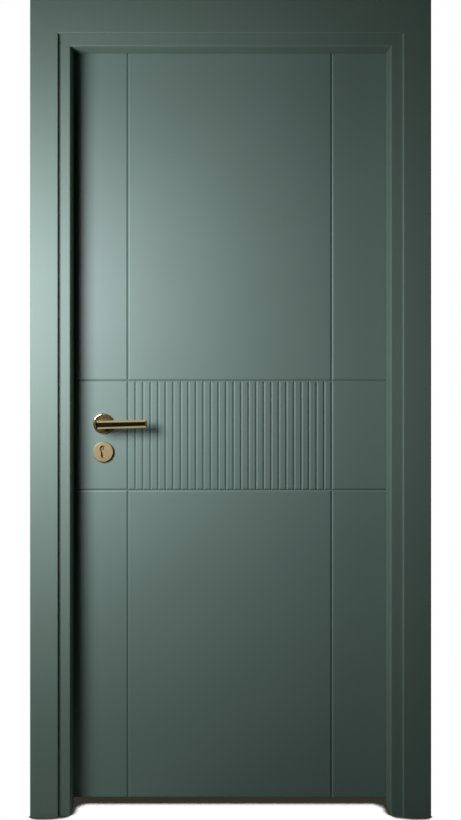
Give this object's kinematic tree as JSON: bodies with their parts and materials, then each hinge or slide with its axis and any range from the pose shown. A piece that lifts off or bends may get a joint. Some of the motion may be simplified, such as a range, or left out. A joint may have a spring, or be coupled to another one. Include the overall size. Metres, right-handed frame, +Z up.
{
  "type": "interior door with frame",
  "caption": "Hinged interior door leaf of grooved MDF in a rebated frame with flat casings, with lever handles on round roses and a cylinder lock.",
  "frame": {"origin": "on the floor, midway across the doorway and midway between the push-side casing face and the pull-side lever's outer face", "axes": "+Z up, +Y from the push face to the pull face, +X from the lock side to the hinge side"},
  "size_m": [1.03, 0.188, 2.101],
  "materials": {
    "lacquered_mdf": "satin green-grey lacquer on milled MDF",
    "sealed_softwood": "laminated softwood, lacquered where it shows at the edge",
    "tube_chipboard": "raw extruded chipboard",
    "tpe_seal": "matt extruded elastomer",
    "satin_brass": "satin plated brass",
    "zinc_plated_steel": "bright zinc plate",
    "nylon": "moulded nylon"
  },
  "bodies": {
    "frame": {"lock_jamb": "lacquered_mdf", "hinge_jamb": "lacquered_mdf", "head_jamb": "lacquered_mdf", "front_lock_casing": "lacquered_mdf", "front_hinge_casing": "lacquered_mdf", "front_head_casing": "lacquered_mdf", "rear_lock_casing": "lacquered_mdf", "rear_hinge_casing": "lacquered_mdf", "rear_head_casing": "lacquered_mdf", "lock_seal": "tpe_seal", "hinge_seal": "tpe_seal", "head_seal": "tpe_seal", "bottom_hinge_frame_flap": "satin_brass", "middle_hinge_frame_flap": "satin_brass", "top_hinge_frame_flap": "satin_brass", "bottom_hinge_pin": "satin_brass", "middle_hinge_pin": "satin_brass", "top_hinge_pin": "satin_brass", "hinge_frame_screws": "satin_brass", "strike_plate": "satin_brass", "strike_screws": "satin_brass"},
    "leaf": {"front_skin": "lacquered_mdf", "rear_skin": "lacquered_mdf", "lock_stile": "sealed_softwood", "hinge_stile": "sealed_softwood", "top_rail": "sealed_softwood", "bottom_rail": "sealed_softwood", "lock_block": "sealed_softwood", "leaf_core": "tube_chipboard", "bottom_hinge_leaf_flap": "satin_brass", "middle_hinge_leaf_flap": "satin_brass", "top_hinge_leaf_flap": "satin_brass", "hinge_leaf_screws": "satin_brass", "lock_forend": "satin_brass", "forend_screws": "satin_brass", "lock_case": "zinc_plated_steel", "lock_cover": "zinc_plated_steel", "lock_rivets": "zinc_plated_steel", "latch_spring": "zinc_plated_steel", "return_spring": "zinc_plated_steel", "cylinder_body": "satin_brass", "cylinder_screw": "satin_brass", "front_rose_cover": "satin_brass", "rear_rose_cover": "satin_brass", "front_rose_base": "nylon", "rear_rose_base": "nylon", "rose_bolts": "zinc_plated_steel", "front_escutcheon_cover": "satin_brass", "rear_escutcheon_cover": "satin_brass", "front_escutcheon_base": "nylon", "rear_escutcheon_base": "nylon"},
    "lever_set": {"front_lever": "satin_brass", "rear_lever": "satin_brass", "spindle": "zinc_plated_steel", "lock_follower": "zinc_plated_steel", "lever_grub_screws": "zinc_plated_steel"},
    "latch": {"latch_bolt": "zinc_plated_steel"},
    "deadbolt_body": {"deadbolt": "zinc_plated_steel"},
    "cylinder_core": {"cylinder_plug": "satin_brass"}
  },
  "joints": [
    {"name": "leaf_swing", "type": "hinge", "parent": "frame", "child": "leaf", "pos_m": [0.4265, 0.045, 1], "axis": [0, 0, -1], "range_deg": [0, 170]},
    {"name": "lever_turn", "type": "hinge", "parent": "leaf", "child": "lever_set", "pos_m": [-0.335, 0.016, 1.005], "axis": [0, 1, 0], "range_deg": [0, 40], "stiffness_Nm_per_rad": 1.2, "springref_deg": -28.65, "deforming": ["return_spring"]},
    {"name": "latch_slide", "type": "slide", "parent": "leaf", "child": "latch", "axis": [1, 0, 0], "range_m": [0, 0.011], "deforming": ["latch_spring"]},
    {"name": "cylinder_turn", "type": "hinge", "parent": "leaf", "child": "cylinder_core", "pos_m": [-0.335, 0.016, 0.938], "axis": [0, -1, 0], "range_deg": [0, 360]},
    {"name": "deadbolt_throw", "type": "slide", "parent": "leaf", "child": "deadbolt_body", "axis": [-1, 0, 0], "range_m": [0, 0.02]}
  ],
  "couplings": [
    {"joint": "latch_slide", "follows": "lever_turn", "m_per_rad": 0.015756},
    {"joint": "cylinder_turn", "follows": "deadbolt_throw", "rad_per_m": 314.15}
  ]
}
